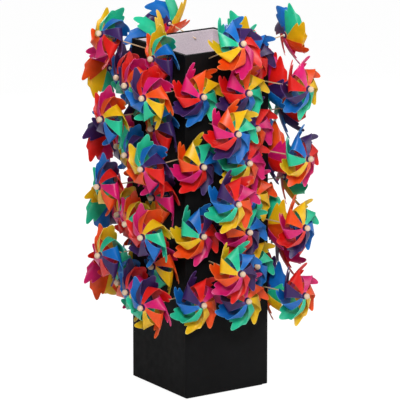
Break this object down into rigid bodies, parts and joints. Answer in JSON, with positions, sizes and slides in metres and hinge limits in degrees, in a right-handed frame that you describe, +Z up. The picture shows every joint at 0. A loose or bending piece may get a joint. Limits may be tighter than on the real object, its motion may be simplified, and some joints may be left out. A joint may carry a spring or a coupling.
{
  "type": "kinetic wind sculpture",
  "caption": "Tall square open box whose sides carry seven-vane pinwheels on thin wooden stems; each pinwheel spins freely on its stem.",
  "frame": {"origin": "centre of the underside of the box, on the ground", "axes": "+Z up along the box; -Y out of its front side, +X out of its right side"},
  "size_m": [0.4476, 0.4476, 0.8046],
  "materials": {
    "box_black": "matte",
    "rubber_pad": "matte",
    "ballast_grey": "cast, rough",
    "liner_white": "matte",
    "vane_plastic": "satin sheet, seven colours"
  },
  "bodies": {
    "stand": {"box_shell": "box_black", "base_pad": "rubber_pad", "ballast_block": "ballast_grey", "liner_front": "liner_white", "liner_right": "liner_white", "liner_back": "liner_white", "liner_left": "liner_white"},
    "pinwheel_row2_front_left": {"pinwheel_row2_front_left": "vane_plastic"},
    "pinwheel_row4_front_left": {"pinwheel_row4_front_left": "vane_plastic"},
    "pinwheel_row6_front_left": {"pinwheel_row6_front_left": "vane_plastic"},
    "pinwheel_row8_front_left": {"pinwheel_row8_front_left": "vane_plastic"},
    "pinwheel_row1_front_middle": {"pinwheel_row1_front_middle": "vane_plastic"},
    "pinwheel_row3_front_middle": {"pinwheel_row3_front_middle": "vane_plastic"},
    "pinwheel_row5_front_middle": {"pinwheel_row5_front_middle": "vane_plastic"},
    "pinwheel_row7_front_middle": {"pinwheel_row7_front_middle": "vane_plastic"},
    "pinwheel_row8_front_right": {"pinwheel_row8_front_right": "vane_plastic"},
    "pinwheel_row1_front_far_right": {"pinwheel_row1_front_far_right": "vane_plastic"},
    "pinwheel_row3_front_far_right": {"pinwheel_row3_front_far_right": "vane_plastic"},
    "pinwheel_row5_front_far_right": {"pinwheel_row5_front_far_right": "vane_plastic"},
    "pinwheel_row7_front_far_right": {"pinwheel_row7_front_far_right": "vane_plastic"},
    "pinwheel_row2_right_left": {"pinwheel_row2_right_left": "vane_plastic"},
    "pinwheel_row4_right_left": {"pinwheel_row4_right_left": "vane_plastic"},
    "pinwheel_row6_right_left": {"pinwheel_row6_right_left": "vane_plastic"},
    "pinwheel_row8_right_left": {"pinwheel_row8_right_left": "vane_plastic"},
    "pinwheel_row1_right_middle": {"pinwheel_row1_right_middle": "vane_plastic"},
    "pinwheel_row3_right_middle": {"pinwheel_row3_right_middle": "vane_plastic"},
    "pinwheel_row5_right_middle": {"pinwheel_row5_right_middle": "vane_plastic"},
    "pinwheel_row7_right_middle": {"pinwheel_row7_right_middle": "vane_plastic"},
    "pinwheel_row8_right_right": {"pinwheel_row8_right_right": "vane_plastic"},
    "pinwheel_row1_right_far_right": {"pinwheel_row1_right_far_right": "vane_plastic"},
    "pinwheel_row3_right_far_right": {"pinwheel_row3_right_far_right": "vane_plastic"},
    "pinwheel_row5_right_far_right": {"pinwheel_row5_right_far_right": "vane_plastic"},
    "pinwheel_row7_right_far_right": {"pinwheel_row7_right_far_right": "vane_plastic"},
    "pinwheel_row2_back_left": {"pinwheel_row2_back_left": "vane_plastic"},
    "pinwheel_row4_back_left": {"pinwheel_row4_back_left": "vane_plastic"},
    "pinwheel_row6_back_left": {"pinwheel_row6_back_left": "vane_plastic"},
    "pinwheel_row8_back_left": {"pinwheel_row8_back_left": "vane_plastic"},
    "pinwheel_row1_back_middle": {"pinwheel_row1_back_middle": "vane_plastic"},
    "pinwheel_row3_back_middle": {"pinwheel_row3_back_middle": "vane_plastic"},
    "pinwheel_row5_back_middle": {"pinwheel_row5_back_middle": "vane_plastic"},
    "pinwheel_row7_back_middle": {"pinwheel_row7_back_middle": "vane_plastic"},
    "pinwheel_row8_back_right": {"pinwheel_row8_back_right": "vane_plastic"},
    "pinwheel_row1_back_far_right": {"pinwheel_row1_back_far_right": "vane_plastic"},
    "pinwheel_row3_back_far_right": {"pinwheel_row3_back_far_right": "vane_plastic"},
    "pinwheel_row5_back_far_right": {"pinwheel_row5_back_far_right": "vane_plastic"},
    "pinwheel_row7_back_far_right": {"pinwheel_row7_back_far_right": "vane_plastic"},
    "pinwheel_row2_left_left": {"pinwheel_row2_left_left": "vane_plastic"},
    "pinwheel_row4_left_left": {"pinwheel_row4_left_left": "vane_plastic"},
    "pinwheel_row6_left_left": {"pinwheel_row6_left_left": "vane_plastic"},
    "pinwheel_row8_left_left": {"pinwheel_row8_left_left": "vane_plastic"},
    "pinwheel_row1_left_middle": {"pinwheel_row1_left_middle": "vane_plastic"},
    "pinwheel_row3_left_middle": {"pinwheel_row3_left_middle": "vane_plastic"},
    "pinwheel_row5_left_middle": {"pinwheel_row5_left_middle": "vane_plastic"},
    "pinwheel_row7_left_middle": {"pinwheel_row7_left_middle": "vane_plastic"},
    "pinwheel_row8_left_right": {"pinwheel_row8_left_right": "vane_plastic"},
    "pinwheel_row1_left_far_right": {"pinwheel_row1_left_far_right": "vane_plastic"},
    "pinwheel_row3_left_far_right": {"pinwheel_row3_left_far_right": "vane_plastic"},
    "pinwheel_row5_left_far_right": {"pinwheel_row5_left_far_right": "vane_plastic"},
    "pinwheel_row7_left_far_right": {"pinwheel_row7_left_far_right": "vane_plastic"}
  },
  "joints": [
    {"name": "spin_row2_front_left", "type": "hinge", "parent": "stand", "child": "pinwheel_row2_front_left", "pos_m": [-0.04084, -0.1929, 0.28259], "axis": [0.0232, -0.9997, -0.0097], "continuous": true},
    {"name": "spin_row4_front_left", "type": "hinge", "parent": "stand", "child": "pinwheel_row4_front_left", "pos_m": [-0.04838, -0.1929, 0.42734], "axis": [-0.0578, -0.9983, 0.009], "continuous": true},
    {"name": "spin_row6_front_left", "type": "hinge", "parent": "stand", "child": "pinwheel_row6_front_left", "pos_m": [-0.04889, -0.1929, 0.57065], "axis": [-0.0633, -0.9979, 0.0123], "continuous": true},
    {"name": "spin_row8_front_left", "type": "hinge", "parent": "stand", "child": "pinwheel_row8_front_left", "pos_m": [-0.03908, -0.1929, 0.74318], "axis": [0.0387, -0.9171, 0.3967], "continuous": true},
    {"name": "spin_row1_front_middle", "type": "hinge", "parent": "stand", "child": "pinwheel_row1_front_middle", "pos_m": [-0.00136, -0.15745, 0.21182], "axis": [0, -1, 0], "continuous": true},
    {"name": "spin_row3_front_middle", "type": "hinge", "parent": "stand", "child": "pinwheel_row3_front_middle", "pos_m": [0.00105, -0.15745, 0.35496], "axis": [0, -1, 0], "continuous": true},
    {"name": "spin_row5_front_middle", "type": "hinge", "parent": "stand", "child": "pinwheel_row5_front_middle", "pos_m": [0.00038, -0.15745, 0.49777], "axis": [0, -1, 0], "continuous": true},
    {"name": "spin_row7_front_middle", "type": "hinge", "parent": "stand", "child": "pinwheel_row7_front_middle", "pos_m": [-0.00094, -0.15745, 0.641], "axis": [0, -1, 0], "continuous": true},
    {"name": "spin_row8_front_right", "type": "hinge", "parent": "stand", "child": "pinwheel_row8_front_right", "pos_m": [0.043, -0.122, 0.699], "axis": [0, -1, 0], "continuous": true},
    {"name": "spin_row1_front_far_right", "type": "hinge", "parent": "stand", "child": "pinwheel_row1_front_far_right", "pos_m": [0.10991, -0.1929, 0.21293], "axis": [0.2492, -0.9684, 0.0097], "continuous": true},
    {"name": "spin_row3_front_far_right", "type": "hinge", "parent": "stand", "child": "pinwheel_row3_front_far_right", "pos_m": [0.11034, -0.1929, 0.35509], "axis": [0.2535, -0.9673, 0.001], "continuous": true},
    {"name": "spin_row5_front_far_right", "type": "hinge", "parent": "stand", "child": "pinwheel_row5_front_far_right", "pos_m": [0.11654, -0.1929, 0.49746], "axis": [0.3123, -0.95, -0.0055], "continuous": true},
    {"name": "spin_row7_front_far_right", "type": "hinge", "parent": "stand", "child": "pinwheel_row7_front_far_right", "pos_m": [0.11563, -0.1929, 0.64067], "axis": [0.3039, -0.9527, -0.0034], "continuous": true},
    {"name": "spin_row2_right_left", "type": "hinge", "parent": "stand", "child": "pinwheel_row2_right_left", "pos_m": [0.1929, -0.0397, 0.27535], "axis": [0.9994, 0.0355, -0.0016], "continuous": true},
    {"name": "spin_row4_right_left", "type": "hinge", "parent": "stand", "child": "pinwheel_row4_right_left", "pos_m": [0.1929, -0.04894, 0.41896], "axis": [0.998, -0.0638, 0.005], "continuous": true},
    {"name": "spin_row6_right_left", "type": "hinge", "parent": "stand", "child": "pinwheel_row6_right_left", "pos_m": [0.1929, -0.0394, 0.56264], "axis": [0.9992, 0.0387, 0.0122], "continuous": true},
    {"name": "spin_row8_right_left", "type": "hinge", "parent": "stand", "child": "pinwheel_row8_right_left", "pos_m": [0.1929, -0.04719, 0.71791], "axis": [0.9864, -0.0445, 0.1583], "continuous": true},
    {"name": "spin_row1_right_middle", "type": "hinge", "parent": "stand", "child": "pinwheel_row1_right_middle", "pos_m": [0.15745, 0.00102, 0.20375], "axis": [1, 0, 0], "continuous": true},
    {"name": "spin_row3_right_middle", "type": "hinge", "parent": "stand", "child": "pinwheel_row3_right_middle", "pos_m": [0.15745, -0.00068, 0.34697], "axis": [1, 0, 0], "continuous": true},
    {"name": "spin_row5_right_middle", "type": "hinge", "parent": "stand", "child": "pinwheel_row5_right_middle", "pos_m": [0.15745, -0.00024, 0.49003], "axis": [1, 0, 0], "continuous": true},
    {"name": "spin_row7_right_middle", "type": "hinge", "parent": "stand", "child": "pinwheel_row7_right_middle", "pos_m": [0.15745, 0.00111, 0.63308], "axis": [1, 0, 0], "continuous": true},
    {"name": "spin_row8_right_right", "type": "hinge", "parent": "stand", "child": "pinwheel_row8_right_right", "pos_m": [0.122, 0.043, 0.691], "axis": [1, 0, 0], "continuous": true},
    {"name": "spin_row1_right_far_right", "type": "hinge", "parent": "stand", "child": "pinwheel_row1_right_far_right", "pos_m": [0.1929, 0.11532, 0.20431], "axis": [0.9536, 0.301, 0.0032], "continuous": true},
    {"name": "spin_row3_right_far_right", "type": "hinge", "parent": "stand", "child": "pinwheel_row3_right_far_right", "pos_m": [0.1929, 0.10966, 0.34706], "axis": [0.9691, 0.2468, 0.0007], "continuous": true},
    {"name": "spin_row5_right_far_right", "type": "hinge", "parent": "stand", "child": "pinwheel_row5_right_far_right", "pos_m": [0.1929, 0.10727, 0.49018], "axis": [0.9748, 0.2232, 0.0018], "continuous": true},
    {"name": "spin_row7_right_far_right", "type": "hinge", "parent": "stand", "child": "pinwheel_row7_right_far_right", "pos_m": [0.1929, 0.10866, 0.63367], "axis": [0.9715, 0.2369, 0.0071], "continuous": true},
    {"name": "spin_row2_back_left", "type": "hinge", "parent": "stand", "child": "pinwheel_row2_back_left", "pos_m": [0.04329, 0.1929, 0.28157], "axis": [0.0031, 1, 0.0008], "continuous": true},
    {"name": "spin_row4_back_left", "type": "hinge", "parent": "stand", "child": "pinwheel_row4_back_left", "pos_m": [0.04714, 0.1929, 0.4256], "axis": [0.0445, 0.9989, 0.0118], "continuous": true},
    {"name": "spin_row6_back_left", "type": "hinge", "parent": "stand", "child": "pinwheel_row6_back_left", "pos_m": [0.03716, 0.1929, 0.56693], "axis": [-0.0628, 0.998, -0.0061], "continuous": true},
    {"name": "spin_row8_back_left", "type": "hinge", "parent": "stand", "child": "pinwheel_row8_back_left", "pos_m": [0.03751, 0.1929, 0.7198], "axis": [-0.058, 0.9824, 0.1777], "continuous": true},
    {"name": "spin_row1_back_middle", "type": "hinge", "parent": "stand", "child": "pinwheel_row1_back_middle", "pos_m": [0.00125, 0.15745, 0.21014], "axis": [0, 1, 0], "continuous": true},
    {"name": "spin_row3_back_middle", "type": "hinge", "parent": "stand", "child": "pinwheel_row3_back_middle", "pos_m": [-0.00095, 0.15745, 0.35282], "axis": [0, 1, 0], "continuous": true},
    {"name": "spin_row5_back_middle", "type": "hinge", "parent": "stand", "child": "pinwheel_row5_back_middle", "pos_m": [-0.00136, 0.15745, 0.49594], "axis": [0, 1, 0], "continuous": true},
    {"name": "spin_row7_back_middle", "type": "hinge", "parent": "stand", "child": "pinwheel_row7_back_middle", "pos_m": [0.00094, 0.15745, 0.63888], "axis": [0, 1, 0], "continuous": true},
    {"name": "spin_row8_back_right", "type": "hinge", "parent": "stand", "child": "pinwheel_row8_back_right", "pos_m": [-0.043, 0.122, 0.697], "axis": [0, 1, 0], "continuous": true},
    {"name": "spin_row1_back_far_right", "type": "hinge", "parent": "stand", "child": "pinwheel_row1_back_far_right", "pos_m": [-0.10711, 0.1929, 0.21111], "axis": [-0.2216, 0.9751, 0.0117], "continuous": true},
    {"name": "spin_row3_back_far_right", "type": "hinge", "parent": "stand", "child": "pinwheel_row3_back_far_right", "pos_m": [-0.10631, 0.1929, 0.35318], "axis": [-0.2136, 0.9769, 0.0019], "continuous": true},
    {"name": "spin_row5_back_far_right", "type": "hinge", "parent": "stand", "child": "pinwheel_row5_back_far_right", "pos_m": [-0.10698, 0.1929, 0.49719], "axis": [-0.2202, 0.9754, 0.0125], "continuous": true},
    {"name": "spin_row7_back_far_right", "type": "hinge", "parent": "stand", "child": "pinwheel_row7_back_far_right", "pos_m": [-0.11149, 0.1929, 0.63989], "axis": [-0.2646, 0.9643, 0.0093], "continuous": true},
    {"name": "spin_row2_left_left", "type": "hinge", "parent": "stand", "child": "pinwheel_row2_left_left", "pos_m": [-0.1929, 0.04637, 0.28763], "axis": [-0.9993, 0.0363, 0.0014], "continuous": true},
    {"name": "spin_row4_left_left", "type": "hinge", "parent": "stand", "child": "pinwheel_row4_left_left", "pos_m": [-0.1929, 0.04806, 0.43072], "axis": [-0.9985, 0.0544, 0.0023], "continuous": true},
    {"name": "spin_row6_left_left", "type": "hinge", "parent": "stand", "child": "pinwheel_row6_left_left", "pos_m": [-0.1929, 0.03763, 0.57315], "axis": [-0.9983, -0.0577, -0.0038], "continuous": true},
    {"name": "spin_row8_left_left", "type": "hinge", "parent": "stand", "child": "pinwheel_row8_left_left", "pos_m": [-0.1929, 0.04072, 0.73979], "axis": [-0.9295, -0.0229, 0.3681], "continuous": true},
    {"name": "spin_row1_left_middle", "type": "hinge", "parent": "stand", "child": "pinwheel_row1_left_middle", "pos_m": [-0.15745, -0.00089, 0.21624], "axis": [-1, 0, 0], "continuous": true},
    {"name": "spin_row3_left_middle", "type": "hinge", "parent": "stand", "child": "pinwheel_row3_left_middle", "pos_m": [-0.15745, -0.00095, 0.35896], "axis": [-1, 0, 0], "continuous": true},
    {"name": "spin_row5_left_middle", "type": "hinge", "parent": "stand", "child": "pinwheel_row5_left_middle", "pos_m": [-0.15745, 0.00046, 0.50175], "axis": [-1, 0, 0], "continuous": true},
    {"name": "spin_row7_left_middle", "type": "hinge", "parent": "stand", "child": "pinwheel_row7_left_middle", "pos_m": [-0.15745, -0.00104, 0.64524], "axis": [-1, 0, 0], "continuous": true},
    {"name": "spin_row8_left_right", "type": "hinge", "parent": "stand", "child": "pinwheel_row8_left_right", "pos_m": [-0.122, -0.043, 0.703], "axis": [-1, 0, 0], "continuous": true},
    {"name": "spin_row1_left_far_right", "type": "hinge", "parent": "stand", "child": "pinwheel_row1_left_far_right", "pos_m": [-0.1929, -0.10775, 0.2149], "axis": [-0.9736, -0.228, -0.0116], "continuous": true},
    {"name": "spin_row3_left_far_right", "type": "hinge", "parent": "stand", "child": "pinwheel_row3_left_far_right", "pos_m": [-0.1929, -0.10801, 0.36001], "axis": [-0.973, -0.2305, 0.0105], "continuous": true},
    {"name": "spin_row5_left_far_right", "type": "hinge", "parent": "stand", "child": "pinwheel_row5_left_far_right", "pos_m": [-0.1929, -0.10852, 0.50108], "axis": [-0.9718, -0.2356, -0.0096], "continuous": true},
    {"name": "spin_row7_left_far_right", "type": "hinge", "parent": "stand", "child": "pinwheel_row7_left_far_right", "pos_m": [-0.1929, -0.11289, 0.64565], "axis": [-0.9605, -0.2781, 0.0068], "continuous": true}
  ]
}
